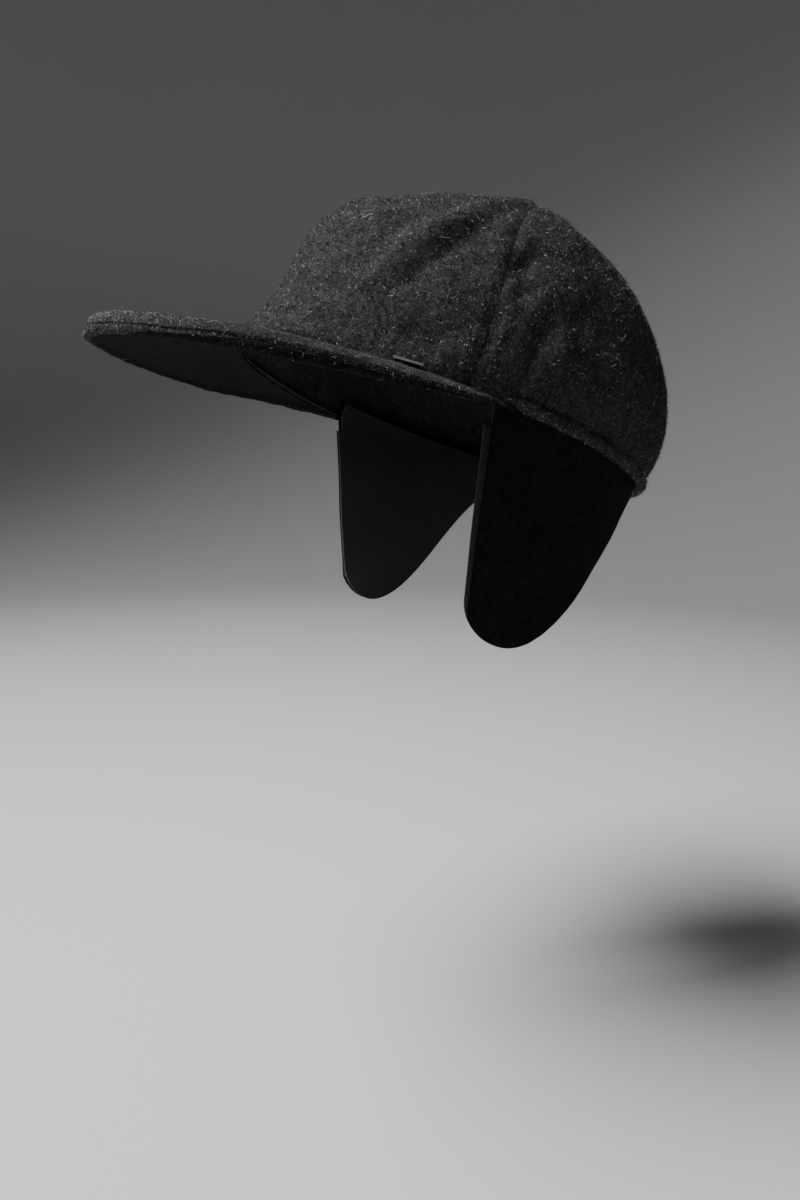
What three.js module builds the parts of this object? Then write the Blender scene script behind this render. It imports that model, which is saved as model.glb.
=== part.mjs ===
import * as THREE from 'three';

// Wool cap with a stiff peak and two ear flaps, as it sits on a head. Sizes are in millimetres and
// angles in degrees. +Z is up, -Y is the front and +X is the wearer's left. The origin is the middle
// of the head opening. Azimuth is counted round the crown from the front, and grows to the wearer's left.

const frontLift = 18.6;    // slope of the rim on the head, front up
const clearance = 0.3;     // left between pieces that are sewn together

// Outside of the crown from the rim up: height, and reach to the front, back and side.
const crownSections = [
  { height: 0, front: 104, back: 110.5, side: 89.1 },
  { height: 23.5, front: 106, back: 113, side: 92.8 },
  { height: 47.5, front: 102.5, back: 107.5, side: 88.5 },
  { height: 69.7, front: 93.5, back: 98, side: 79 },
  { height: 88, front: 72.5, back: 82.5, side: 66 },
  { height: 103.2, front: 46, back: 56, side: 46.5 },
  { height: 113, front: 22.5, back: 25, side: 22 },
  { height: 119.4, front: 9, back: 9.2, side: 8.6 },
];
const crown = {
  wall: 3,
  pointHeight: 124.4,      // the gathered point, where all the panels meet
  pointBack: 3.3,          // how far behind the middle it lies
  girth: 90,               // mean reach, which turns an azimuth into a width for the folds
  profile: 165,            // length of the outside from the rim to the point
  flare: 10.5,             // how far the front stands out over the peak's seam
  flareHeight: 10.5,
  seamDip: 1.7,            // how far the seams pull in
  seamWidth: 4.5,
  panelSwell: 0.9,         // how far a panel stands out between its seams
  calmRim: 0.12,           // height share under which seams and folds fade out
  calmReach: 55,           // reach from the middle inside which they do so too
  slopeStep: 0.004,        // height share over which the wall's slope is taken
  rows: 16,
  secondRow: 9,            // height of the row of corners over the lower edge
  lastRow: 0.985,          // height share of the last row before the point
  seamColumns: [0, 0.035, 0.085],   // shares of a panel's width, close along its seams
  columnGap: 0.03,         // least share between the columns at the hem's step and others
};
const panels = [
  { name: 'crown_front', from: -65.5, to: 65.5, columns: 24 },
  { name: 'crown_side_left', from: 65.5, to: 122, columns: 12 },
  { name: 'crown_back_left', from: 122, to: 180, columns: 12 },
  { name: 'crown_back_right', from: 180, to: 238, columns: 12 },
  { name: 'crown_side_right', from: 238, to: 294.5, columns: 12 },
];

// Folds and hollows of the crown. Each runs from one azimuth and height share to another, and a
// height share of 0 is the rim and 1 the gathered point.
const folds = [
  { name: 'front ridge', from: [57, 0.5], to: [32, 0.165], width: 7, lift: 2.2 },
  { name: 'valley below the ridge', from: [57, 0.42], to: [37, 0.165], width: 6, lift: -2.2 },
  { name: 'valley above the ridge', from: [42, 0.38], to: [31, 0.175], width: 6, lift: -1.3 },
  { name: 'hollow by the side seam', from: [70, 0.33], to: [71, 0.26], width: 9, lift: -1.6 },
  { name: 'hollow over the hem', from: [78, 0.16], to: [75, 0.08], width: 8, lift: -1.8 },
  { name: 'side hollow', from: [90, 0.3], to: [95, 0.23], width: 11, lift: -1.8 },
  { name: 'back hollow', from: [107, 0.24], to: [107, 0.15], width: 10, lift: -1.6 },
  { name: 'right front hollow', from: [-52, 0.4], to: [-38, 0.2], width: 9, lift: -1.5 },
  { name: 'right side hollow', from: [-86, 0.3], to: [-92, 0.18], width: 12, lift: -1.6 },
  { name: 'fall of the top in front', from: [16, 0.5], to: [52, 0.64], width: 13, lift: -3.2 },
  { name: 'flat shoulder behind', from: [102, 0.57], to: [131, 0.4], width: 20, lift: -4.6 },
];

// The rolled lower edge, and the step from under the peak's covers to over the roll.
const hem = {
  from: 77.1, middle: 2, inset: 1.1, halfWidth: 2.3, halfHeight: 2.25, steps: 36, sides: 8,
  step: 76, stepWidth: 0.7,
};

// The peak. Its outer edge is a squared half ellipse in plan, which lies in a plane that falls
// away from the rim's.
const peak = {
  end: 79,                 // azimuth at which the outer edge meets the rim
  reach: 179.5,            // from the middle to the tip
  squareness: 2.24,
  pinch: 3.5,              // how far the corners are drawn in
  droop: 7.8,
  innerCover: 1.7,         // thickness of each cover along the crown
  outerCover: 4,           // and at the edge
  thickenOver: 25,         // run from the crown over which they reach that
  columns: 26,
  lastTurn: 0.988,         // share of the edge's quarter turn at which the covers end
  closeUp: 0.3,            // how much closer the columns are towards the ends
  seat: 0.5,               // distance to the crown, with room for the flats of both
  flatRows: [0, 0.3, 0.65, 1],      // shares of the flat part, from the crown out
  rollRows: [0.5, 0.15, 0],         // shares of the rolled edge still to go
};

const flap = {
  inset: 3.7,              // from the crown's outside to the flap's
  outer: 2.2,              // thickness of the black wool
  lining: 1.2,
  tuck: 8,                 // sewn up inside the crown
  lean: 7,                 // how far it leans in to the head
  front: 71.2,             // azimuth of the front edge at the rim
  frontShift: 3.7,         // by which that edge runs forward at the bottom
  shiftSpan: 40,           // behind the front edge, the part of the flap that runs with it
  lowest: 81.6,
  back: 147,
  depth: 104.4,
  least: 1.5,              // depth left at the back end
  cornerDepth: 88,         // where the front edge turns into the bottom corner
  strip: 2.2,              // width of the twill strip at the front edge, as an azimuth
  stripInset: 4.1,
  stripGap: 0.2,           // between the strip and the black wool, as an azimuth
  stripSeam: 0.05,
  crowding: 1.5,           // power that draws the columns together at the front corner
  columns: 12,
  rows: 7,
};

const tab = { azimuth: 51.4, length: 13, height: 1, thickness: 0.9, above: 2.2 };

const crownWool = new THREE.MeshStandardMaterial({ color: 0x2e2f31, roughness: 0.95, metalness: 0 });
const flapWool = new THREE.MeshStandardMaterial({ color: 0x111214, roughness: 0.95, metalness: 0 });
const twill = new THREE.MeshStandardMaterial({ color: 0x1a1c22, roughness: 0.8, metalness: 0 });
const metal = new THREE.MeshStandardMaterial({ color: 0xa8a9aa, roughness: 0.35, metalness: 1 });

const radians = THREE.MathUtils.degToRad;
const lerp = THREE.MathUtils.lerp;
const clamp = THREE.MathUtils.clamp;
// An azimuth between -180 and 180.
const signed = (azimuth) => THREE.MathUtils.euclideanModulo(azimuth + 180, 360) - 180;
const range = (count) => Array.from({ length: count + 1 }, (_, index) => index);

// Smooth curve through a column of the section table, closed over the gathered point.
function sectionValue(key, share) {
  const apex = key === 'height' ? crown.pointHeight : 0;
  const mirror = key === 'height' ? 1 : -1;
  const values = [...crownSections.map((section) => section[key]), apex];
  const last = values.length - 1;
  const place = share * last;
  const start = clamp(Math.floor(place), 0, last - 1);
  const t = place - start;
  const before = start > 0 ? values[start - 1] : 2 * values[0] - values[1];
  const after = start + 2 <= last ? values[start + 2] : mirror * values[last - 1];
  const here = values[start];
  const next = values[start + 1];
  if (share < 0) {
    return here + (next - before) * t / 2;
  }
  return 0.5 * (2 * here + (next - before) * t + (2 * before - 5 * here + 4 * next - after) * t ** 2
    + (3 * here - before - 3 * next + after) * t ** 3);
}

// Height share at which the crown's outside reaches a small height over the rim.
const shareAt = (height) => height / (crownSections[1].height * crownSections.length);

// How far the middle of the crown has moved back at a height share.
const middleAt = (share) => crown.pointBack * Math.max(share, 0) ** 2;

function smoothCrown(azimuth, share) {
  const turn = radians(azimuth);
  const forward = Math.max(Math.cos(turn), 0);
  const height = sectionValue('height', share);
  const flare = crown.flare * forward ** 2 * Math.exp(-(Math.max(height / crown.flareHeight, 0) ** 3));
  const lengthwise = sectionValue(forward > 0 ? 'front' : 'back', share) + flare;
  const across = sectionValue('side', share) * Math.sin(turn);
  return new THREE.Vector3(across, middleAt(share) - lengthwise * Math.cos(turn), height);
}

// Distance on the laid-out crown from a place to the line of a fold.
function foldDistance(fold, azimuth, share) {
  const flat = ([angle, rise]) => new THREE.Vector2(
    radians(angle) * crown.girth * Math.sqrt(Math.max(1 - rise ** 2, 0)),
    rise * crown.profile,
  );
  const start = flat(fold.from);
  const line = flat(fold.to).sub(start);
  const place = flat([azimuth, share]).sub(start);
  const along = clamp(place.dot(line) / line.lengthSq(), 0, 1);
  return place.distanceTo(line.multiplyScalar(along));
}

const bell = (distance, width) => Math.exp(-((distance / width) ** 2));

// How far the cloth stands out from the smooth crown: panels swell, seams pull in, folds run over both.
function relief(azimuth, share) {
  const around = (azimuth + 360) % 360;
  const turn = signed(azimuth);
  const panel = panels.find(({ from, to }) => around >= from && around <= to) ?? panels[0];
  const inPanel = panel === panels[0] ? turn : around;
  const seam = Math.min(Math.abs(inPanel - panel.from), Math.abs(inPanel - panel.to));
  const reach = sectionValue('side', share);
  const fade = clamp(share / crown.calmRim, 0, 1) * clamp(reach / crown.calmReach, 0, 1);
  const middle = Math.sin(Math.PI * (inPanel - panel.from) / (panel.to - panel.from));
  const folded = folds.reduce((sum, fold) => {
    const distance = foldDistance(fold, turn, share);
    return sum + fold.lift * bell(distance, fold.width);
  }, 0);
  const dip = crown.seamDip * bell(radians(seam) * reach, crown.seamWidth);
  return fade * (crown.panelSwell * middle - dip + folded);
}

// A place in the crown's wall, a depth under its outside. Near the gathered point the wall is
// measured straight down, so that it never passes the middle.
function crownPlace(azimuth, share, depth = 0) {
  const outside = smoothCrown(azimuth, share);
  const centre = middleAt(share);
  const radius = (at) => Math.hypot(at.x, at.y - centre);
  const away = new THREE.Vector2(outside.x, outside.y - centre).normalize();
  const reach = radius(outside);
  const above = smoothCrown(azimuth, Math.min(share + crown.slopeStep, 1));
  const below = smoothCrown(azimuth, share - crown.slopeStep);
  const slope = new THREE.Vector2(above.z - below.z, radius(below) - radius(above)).normalize();
  const rise = relief(azimuth, share) - depth;
  const sideways = Math.max(slope.x * rise, -reach / 2);
  const upright = Math.sign(rise * slope.y) * Math.sqrt(Math.max(rise ** 2 - sideways ** 2, 0));
  outside.x += away.x * sideways;
  outside.y += away.y * sideways;
  outside.z += upright;
  return outside;
}

// The lower edge of the crown: over the hem, and under the peak's covers in front.
const hemTop = hem.middle + hem.halfHeight + clearance;
function lowerEdge(azimuth) {
  const turn = Math.abs(signed(azimuth));
  const overHem = clamp((turn - hem.step) / hem.stepWidth, 0, 1);
  return lerp(-peak.innerCover - clearance, hemTop, overHem);
}

// A closed body from a list of triangles, turned so that its faces point out.
function solid(triangles) {
  const same = (a, b) => a.distanceToSquared(b) < 1e-10;
  const whole = triangles.filter(([a, b, c]) => !same(a, b) && !same(b, c) && !same(c, a));
  const volume = whole.reduce((sum, [a, b, c]) => sum + a.dot(b.clone().cross(c)), 0);
  const ordered = volume < 0 ? whole.map(([a, b, c]) => [a, c, b]) : whole;
  const geometry = new THREE.BufferGeometry().setFromPoints(ordered.flat());
  geometry.computeVertexNormals();
  return geometry;
}

// The body between two grids of points that face each other, each a list of rows.
function slab(outside, inside) {
  const triangles = [];
  const face = (a, b, c, d) => triangles.push([a, b, c], [a, c, d]);
  const lastRow = outside.length - 1;
  const lastColumn = outside[0].length - 1;
  for (let row = 0; row < lastRow; row++) {
    for (let column = 0; column < lastColumn; column++) {
      const [low, high] = [outside[row], outside[row + 1]];
      face(low[column], low[column + 1], high[column + 1], high[column]);
      const [lowIn, highIn] = [inside[row], inside[row + 1]];
      face(lowIn[column + 1], lowIn[column], highIn[column], highIn[column + 1]);
    }
    for (const [column, swap] of [[0, false], [lastColumn, true]]) {
      const corners = [outside[row][column], outside[row + 1][column],
        inside[row + 1][column], inside[row][column]];
      face(...(swap ? corners.reverse() : corners));
    }
  }
  for (let column = 0; column < lastColumn; column++) {
    for (const [row, swap] of [[0, true], [lastRow, false]]) {
      const corners = [outside[row][column], outside[row][column + 1],
        inside[row][column + 1], inside[row][column]];
      face(...(swap ? corners.reverse() : corners));
    }
  }
  return solid(triangles);
}

function piece(name, geometry, material) {
  const mesh = new THREE.Mesh(geometry, material);
  mesh.name = name;
  return mesh;
}

// Shares across a panel, with narrower columns along its two seams and at the step of its lower edge.
function panelShares({ from, to, columns }) {
  const seamShares = crown.seamColumns;
  const edge = seamShares.at(-1);
  const spaces = columns - 2 * (seamShares.length - 1);
  const inner = range(spaces).slice(1, -1).map((index) => lerp(edge, 1 - edge, index / spaces));
  const steps = [hem.step, hem.step + hem.stepWidth].flatMap((azimuth) => [azimuth, 360 - azimuth])
    .map((azimuth) => (azimuth - from) / (to - from)).filter((share) => share > 0 && share < 1);
  const regular = inner.filter((share) => steps.every((step) => Math.abs(step - share) > crown.columnGap));
  return [...seamShares, ...regular, ...steps, ...seamShares.map((share) => 1 - share)]
    .sort((a, b) => a - b);
}

function crownPanel(panel) {
  const { from, to } = panel;
  const middle = (from + to) / 2;
  const tipReach = clearance / 2 / Math.sin(radians(to - from) / 2);
  const grid = (depth) => {
    const rows = range(crown.rows - 1).map((row) => panelShares(panel).map((across) => {
      const plain = lerp(from, to, across);
      const regular = lerp(shareAt(crown.secondRow), crown.lastRow, (row - 1) / (crown.rows - 2));
      const share = row === 0 ? shareAt(lowerEdge(plain)) : regular;
      const rim = crownPlace(plain, share, depth);
      const reach = Math.hypot(rim.x, rim.y - middleAt(share));
      const half = THREE.MathUtils.radToDeg(Math.asin(clearance / 2 / reach));
      return crownPlace(lerp(from + half, to - half, across), share, depth);
    }));
    const tip = new THREE.Vector3(
      tipReach * Math.sin(radians(middle)),
      crown.pointBack - tipReach * Math.cos(radians(middle)),
      crown.pointHeight - depth,
    );
    return [...rows, rows[0].map(() => tip)];
  };
  return slab(grid(0), grid(crown.wall));
}

function crownHem() {
  const rings = range(hem.steps).map((step) => {
    const azimuth = lerp(hem.from, 360 - hem.from, step / hem.steps);
    const outside = smoothCrown(azimuth, 0);
    const away = new THREE.Vector3(outside.x, outside.y, 0).normalize();
    return range(hem.sides).map((side) => {
      const turn = 2 * Math.PI * (side % hem.sides) / hem.sides;
      const place = outside.clone().addScaledVector(away, hem.halfWidth * Math.cos(turn) - hem.inset);
      place.z = hem.middle + hem.halfHeight * Math.sin(turn);
      return place;
    });
  });
  const triangles = [];
  for (let step = 0; step < hem.steps; step++) {
    for (let side = 0; side < hem.sides; side++) {
      const [a, b] = [rings[step][side], rings[step + 1][side]];
      const [c, d] = [rings[step + 1][side + 1], rings[step][side + 1]];
      triangles.push([a, b, c], [a, c, d]);
    }
  }
  for (const [ring, swap] of [[rings[0], false], [rings[hem.steps], true]]) {
    for (let side = 1; side < hem.sides - 1; side++) {
      const corner = [ring[0], ring[side], ring[side + 1]];
      triangles.push(swap ? corner.reverse() : corner);
    }
  }
  return solid(triangles);
}

// Outer edge of the peak at a turn from -1, its right end, to 1, its left end.
function peakEdge(turn) {
  const angle = turn * Math.PI / 2;
  const power = 2 / peak.squareness;
  const rim = crownSections[0];
  const endSide = rim.side * Math.sin(radians(peak.end));
  const endFront = rim.front * Math.cos(radians(peak.end));
  const reach = peak.reach - endFront;
  const side = Math.sign(turn);
  const across = side * (endSide * Math.abs(Math.sin(angle)) ** power
    - peak.pinch * Math.sin(2 * Math.abs(angle)));
  const forward = reach * Math.cos(angle) ** power;
  return new THREE.Vector3(across, -endFront - forward, -forward * Math.tan(radians(peak.droop)));
}

// Shares from the crown to the edge, the last ones round the roll.
function peakRows(run, roll) {
  const rounded = Math.min(roll, run / 2);
  return peak.flatRows.map((share) => share * (run - rounded) / run)
    .concat(peak.rollRows.map((part) => 1 - part * rounded / run));
}

function peakCover(side) {
  const roll = peak.outerCover / 2;
  const turns = range(peak.columns).map((index) => {
    const even = 2 * index / peak.columns - 1;
    return peak.lastTurn * (even + peak.closeUp * (even - even ** 3));
  });
  const grid = (share) => {
    const columns = turns.map((turn) => {
      const edge = peakEdge(turn);
      const rim = crownSections[0];
      const azimuth = THREE.MathUtils.radToDeg(Math.atan2(edge.x / rim.side, -edge.y / rim.front));
      const thin = peak.innerCover;
      const seat = crownPlace(azimuth, shareAt(side * (share * thin + clearance / 2)));
      const away = new THREE.Vector3(seat.x, seat.y, 0).normalize();
      const start = new THREE.Vector3(seat.x, seat.y, 0).addScaledVector(away, peak.seat);
      const run = start.distanceTo(edge);
      return peakRows(run, roll).map((along) => {
        const place = start.clone().lerp(edge, along);
        const left = run * (1 - along);
        const round = left < roll ? Math.sqrt(1 - (1 - left / roll) ** 2) : 1;
        const thickness = lerp(thin, peak.outerCover, Math.min(along * run / peak.thickenOver, 1));
        const middle = clearance / 2 + thickness / 2;
        place.z += side * (middle + (share - 0.5) * thickness * round);
        return place;
      });
    });
    return range(columns[0].length - 1).map((row) => columns.map((column) => column[row]));
  };
  return slab(grid(1), grid(0));
}

// From the level frame of the rim to the cap as it is worn.
const worn = new THREE.Matrix4().makeRotationX(-radians(frontLift));

// A place on an ear flap: an azimuth, a drop under the rim, and an inset from the crown's outside.
function flapPlace(azimuth, drop, inset) {
  const outside = smoothCrown(azimuth, 0);
  const out = new THREE.Vector3(Math.sin(radians(azimuth)), -Math.cos(radians(azimuth)), 0);
  outside.addScaledVector(new THREE.Vector3(outside.x, outside.y, 0).normalize(), -inset);
  if (drop < 0) {
    outside.z -= drop;
    return outside.applyMatrix4(worn);
  }
  outside.applyMatrix4(worn).addScaledVector(out, -drop * Math.tan(radians(flap.lean)));
  outside.z -= drop;
  return outside;
}

// Lower edge of a flap: a round corner in front, then one long curve up to the back of the rim.
function flapDepth(azimuth) {
  if (azimuth < flap.lowest) {
    const away = (flap.lowest - azimuth) / (flap.lowest - flap.front);
    return flap.cornerDepth + (flap.depth - flap.cornerDepth) * Math.sqrt(1 - away ** 2);
  }
  const share = (azimuth - flap.lowest) / (flap.back - flap.lowest);
  return Math.max(flap.depth * (1 + Math.cos(Math.PI * share)) / 2, flap.least);
}

function flapLayer(azimuths, insets, side) {
  const grid = (layer) => {
    const columns = azimuths.map((azimuth, index) => {
      const lowest = flapDepth(azimuth);
      const drops = [-flap.tuck, ...range(flap.rows - 1).map((row) => lowest * row / (flap.rows - 1))];
      return drops.map((drop) => {
        const nearFront = 1 - clamp((azimuth - flap.front) / flap.shiftSpan, 0, 1);
        const shift = flap.frontShift * nearFront * Math.max(drop, 0) / flap.depth;
        const place = flapPlace(azimuth - shift, drop, insets[index][layer]);
        place.x *= side;
        return place;
      });
    });
    return range(flap.rows).map((row) => columns.map((column) => column[row]));
  };
  return slab(grid(0), grid(1));
}

// Azimuths of a flap's columns, close together round the front corner.
function flapColumns(first) {
  return range(flap.columns)
    .map((index) => lerp(first, flap.back, (index / flap.columns) ** flap.crowding));
}

function earFlap(side) {
  const azimuths = flapColumns(flap.front + flap.strip + flap.stripSeam + flap.stripGap);
  return flapLayer(azimuths, azimuths.map(() => [flap.inset, flap.inset + flap.outer]), side);
}

// The lining lies behind the outer, and its front edge is rolled out beside the outer's.
function earFlapLining(side) {
  const behind = flap.inset + flap.outer + clearance;
  const azimuths = [flap.front, flap.front + flap.strip / 2, flap.front + flap.strip,
    ...flapColumns(flap.front + flap.strip + flap.stripSeam)];
  const stripEnd = flap.front + flap.strip;
  const insets = azimuths
    .map((azimuth) => [azimuth <= stripEnd ? flap.stripInset : behind, behind + flap.lining]);
  return flapLayer(azimuths, insets, side);
}

function metalTab() {
  const outline = new THREE.Shape();
  const round = tab.height / 2;
  const straight = tab.length / 2 - round;
  outline.absarc(straight, 0, round, -Math.PI / 2, Math.PI / 2, false);
  outline.absarc(-straight, 0, round, Math.PI / 2, 1.5 * Math.PI, false);
  const geometry = new THREE.ExtrudeGeometry(outline, {
    depth: tab.thickness, bevelEnabled: false, curveSegments: 4, steps: 1,
  });
  const bar = piece('tab', geometry, metal);
  const share = shareAt(tab.above + tab.height / 2);
  const seat = crownPlace(tab.azimuth, share);
  const turn = radians(tab.azimuth);
  const rim = crownSections[0];
  const away = new THREE.Vector3(Math.sin(turn) / rim.side, -Math.cos(turn) / rim.front, 0).normalize();
  bar.position.copy(seat).addScaledVector(away, clearance);
  const up = new THREE.Vector3(0, 0, 1);
  bar.setRotationFromMatrix(new THREE.Matrix4().makeBasis(up.clone().cross(away), up, away));
  return bar;
}

const level = new THREE.Group();
level.rotation.x = -radians(frontLift);
for (const panel of panels) {
  level.add(piece(panel.name, crownPanel(panel), crownWool));
}
level.add(piece('crown_hem', crownHem(), crownWool));
level.add(piece('peak_top', peakCover(1), crownWool));
level.add(piece('peak_under', peakCover(-1), crownWool));
level.add(metalTab());

const cap = new THREE.Group();
cap.add(level);
for (const [hand, side] of [['left', 1], ['right', -1]]) {
  cap.add(piece(`ear_flap_${hand}`, earFlap(side), flapWool));
  cap.add(piece(`ear_flap_lining_${hand}`, earFlapLining(side), twill));
}

export default cap;
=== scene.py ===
import math

import bpy
import numpy as np
from mathutils import Matrix, Vector


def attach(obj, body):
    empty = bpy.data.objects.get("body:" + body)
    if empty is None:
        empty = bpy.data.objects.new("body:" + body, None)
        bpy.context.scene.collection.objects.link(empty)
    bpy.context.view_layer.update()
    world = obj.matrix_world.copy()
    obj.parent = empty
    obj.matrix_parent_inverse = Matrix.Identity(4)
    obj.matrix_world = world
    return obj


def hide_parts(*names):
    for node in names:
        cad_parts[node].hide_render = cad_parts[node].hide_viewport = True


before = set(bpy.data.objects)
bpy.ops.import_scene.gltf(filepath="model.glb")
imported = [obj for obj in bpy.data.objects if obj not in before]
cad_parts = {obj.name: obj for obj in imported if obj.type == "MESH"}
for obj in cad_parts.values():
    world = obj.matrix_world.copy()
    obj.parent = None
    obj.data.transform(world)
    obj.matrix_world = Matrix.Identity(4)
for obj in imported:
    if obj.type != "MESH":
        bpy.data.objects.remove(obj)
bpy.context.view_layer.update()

# Sizes are in millimetres and angles in degrees until a piece is made, in the rim's level frame:
# +Z up, -Y to the front, +X to the wearer's left. An azimuth is counted from the front and grows to
# the wearer's left. A height share is 0 at the rim and 1 at the gathered point on top.
METRES = 0.001
FRONT_LIFT = math.radians(18.6)

# Outside of the crown from the rim up
SECTIONS = np.array([
    # height, front, back, side
    (0, 104, 110.5, 89.1),
    (23.5, 106, 113, 92.8),
    (47.5, 102.5, 107.5, 88.5),
    (69.7, 93.5, 98, 79),
    (88, 72.5, 82.5, 66),
    (103.2, 46, 56, 46.5),
    (113, 22.5, 25, 22),
    (119.4, 9, 9.2, 8.6),
    (124.4, 0, 0, 0),
])
HEIGHT, FRONT, BACK, SIDE = range(4)
POINT_BACK = 3.3
FLARE = 10.5
FLARE_HEIGHT = 10.5
WALL = 2.8
PROFILE = 165
LAST_SHARE = 0.992

# The seams: gap, slant through the cloth in degrees, and lift and width of what they draw in or raise
SEAM_GAP = 0.12
SEAM_SLANT = 0.25
SEAM_LINE = (-0.25, 0.8)
SEAM_DRAW = (-0.48, 3.6)
ALLOWANCE = (0.4, 2.4)
ALLOWANCE_BESIDE = 4.6
PUCKER = (0.34, 5)
PUCKER_SIZE = 9

# How far the cloth stands out: middle of a panel, front over the peak, edge over the hem, and the point
PANEL_FULLNESS = 0.9
FRONT_ZONE = 42
FRONT_FADE = 20
HEM_ZONE = 74
HEM_FADE = 6
FRONT_EDGE = 2.6
HEM_EDGE = -1.6
EDGE_MIDDLE = 2.5
EDGE_WIDTH = 3.2
EDGE_FADE = 4
EDGE_OVER_HEM = 1.0
BROW = 4.2
BROW_MIDDLE = 12
BROW_WIDTH = 5.5
POINT_LIFT = 1.9
POINT_WIDTH = 13

# Unevenness of the cloth: height, size and seed of each kind of lump
CROWN_UNEVENNESS = [(0.55, 34, 1), (0.22, 14, 2), (0.12, 6, 3)]
CROWN_NAP = [(0.15, 2.6, 4)]
HEM_UNEVENNESS = [(0.14, 13, 31), (0.07, 4.5, 32), (0.07, 2.4, 33)]
PEAK_WARP = [(0.45, 90, 29)]

PANELS = {
    # from, to, columns, cut width, cut height and area in metres, nap hairs
    "crown_front": (-65.5, 65.5, 216, (0.23, 0.188), 0.0273, 43000),
    "crown_side_left": (65.5, 122, 93, (0.108, 0.169), 0.0121, 19000),
    "crown_back_left": (122, 180, 93, (0.101, 0.18), 0.0118, 17000),
    "crown_back_right": (180, 238, 93, (0.101, 0.18), 0.0118, 17000),
    "crown_side_right": (238, 294.5, 93, (0.108, 0.169), 0.0121, 17000),
}
CROWN_ROWS = 150
INNER_STEP = 3
HAIRS_PER_STRAY = 150
STRAY_LENGTH = (3.5, 9)
STRAY_LIFT = 0.55
STRAY_WIDTH = 0.11
STRAY_JOINTS = 8

# Folds and hollows of the crown: path of azimuths and height shares, width, lift
FOLDS = [
    # front panel, on the wearer's left
    ([(59, 0.56), (57.5, 0.5), (52, 0.39), (45.5, 0.315), (39.5, 0.235), (35.5, 0.17)], 6.0, 2.0),
    ([(60, 0.5), (58, 0.44), (56, 0.36), (51.5, 0.3), (47.5, 0.235), (45, 0.19)], 5.0, -1.9),
    ([(47, 0.44), (38, 0.325), (33.5, 0.265), (31, 0.205)], 6.0, -1.3),
    ([(48, 0.55), (44, 0.47), (38, 0.4)], 5.0, -1.2),
    ([(40, 0.62), (30, 0.55), (14, 0.52)], 9.0, -0.9),
    ([(22, 0.24), (30, 0.1)], 12.0, -1.0),
    ([(58, 0.14), (52, 0.07), (44, 0.05)], 8.0, -0.7),
    # outline on top in front, and behind on the left
    ([(16, 0.5), (30, 0.565), (44, 0.615), (52, 0.64)], 14.0, -5.0),
    ([(42, 0.61), (50, 0.655)], 7.5, -2.0),
    ([(-15, 0.58), (8, 0.62), (30, 0.67), (46, 0.72)], 13.0, -3.4),
    ([(-34, 0.21), (-18, 0.21), (-2, 0.2)], 12.0, -2.4),
    ([(102, 0.57), (114, 0.525), (122, 0.475), (131, 0.4)], 20.0, -5.2),
    # beside the side seam and over the hem
    ([(69.5, 0.31), (69, 0.27), (71, 0.24)], 4.4, -2.6),
    ([(72, 0.34), (80, 0.28), (86, 0.24)], 4.5, -1.1),
    ([(74, 0.26), (83, 0.2)], 4.5, 0.9),
    ([(78.5, 0.19), (77, 0.14), (76, 0.09)], 5.0, -2.4),
    ([(92, 0.3), (96, 0.23)], 10.0, -1.6),
    ([(84, 0.13), (92, 0.08), (101, 0.09)], 6.0, 0.9),
    ([(107, 0.24), (108, 0.15)], 9.0, -1.5),
    ([(118, 0.11), (113, 0.06)], 7.0, -1.0),
    # on the wearer's right and at the back
    ([(-52, 0.42), (-38, 0.2)], 8.0, -1.5),
    ([(-60, 0.36), (-47, 0.17)], 6.0, 1.2),
    ([(-86, 0.3), (-92, 0.18)], 11.0, -1.6),
    ([(-76, 0.17), (-82, 0.08)], 7.0, -1.4),
    ([(-112, 0.26), (-108, 0.14)], 9.0, -1.4),
    ([(150, 0.3), (158, 0.16)], 12.0, -1.2),
    ([(-150, 0.34), (-160, 0.2)], 12.0, -1.2),
    ([(172, 0.12), (152, 0.08)], 8.0, -1.0),
]

# Rolled hem, from its start beside the peak round the back
HEM_FROM = 74.5
HEM_MIDDLE = 2
HEM_INSET = 0.7
HEM_HALF_WIDTH = 2.8
HEM_HALF_HEIGHT = 2.75
HEM_END_SHARE = 0.55
HEM_END_SPAN = 5
HEM_COLUMNS = 320
HEM_ROUND = 20
HEM_HAIRS = 14000

# Peak: azimuth of its ends, outline, thickness by the crown and at the rolled edge, and its tip
PEAK_END = 79
PEAK_TURNS = 0.993
PEAK_CLOSER = 0.3
PEAK_REACH = 179.5
PEAK_SQUARENESS = 2.24
PEAK_PINCH = 3.5
PEAK_DROOP = math.radians(7.8)
PEAK_INNER = 1.7
PEAK_OUTER = 4.4
PEAK_GROOVE = 0.06
PEAK_COLUMNS = 260
PEAK_ROWS = 66
PEAK_ROLL_ROWS = 16
PEAK_TUCK = 1.2
PEAK_FULL_AT = 25
PEAK_RECESS = 1.3
PEAK_DENT = 0.2
PEAK_TIP_SWELL = 1.2
PEAK_TIP_SPAN = 0.4
PEAK_TIP_DEPTH = 9

# Zones of the peak's wool, in shares of the rolled edge's depth and of the way from the tip to an end
TIP_END = 0.45
TOP_ROLLED = 1.3
TOP_LOW = 0.3
# painted shade: darker wool low on the upper cover's rolled edge, towards the ends
TOP_SHADE = 0.2
TOP_SHADE_FROM = 0.36
TOP_SHADE_FADE = 0.3
UNDER_LOW = 1.1
# how far the charcoal roll reaches on the lower cover; past it, darker wool is painted shade
UNDER_ROLLED = [
    # depth, where it ends, over what length it fades
    (0.34, 0.54, 0.34),
    (0.66, 0.3, 0.12),
]

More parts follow.
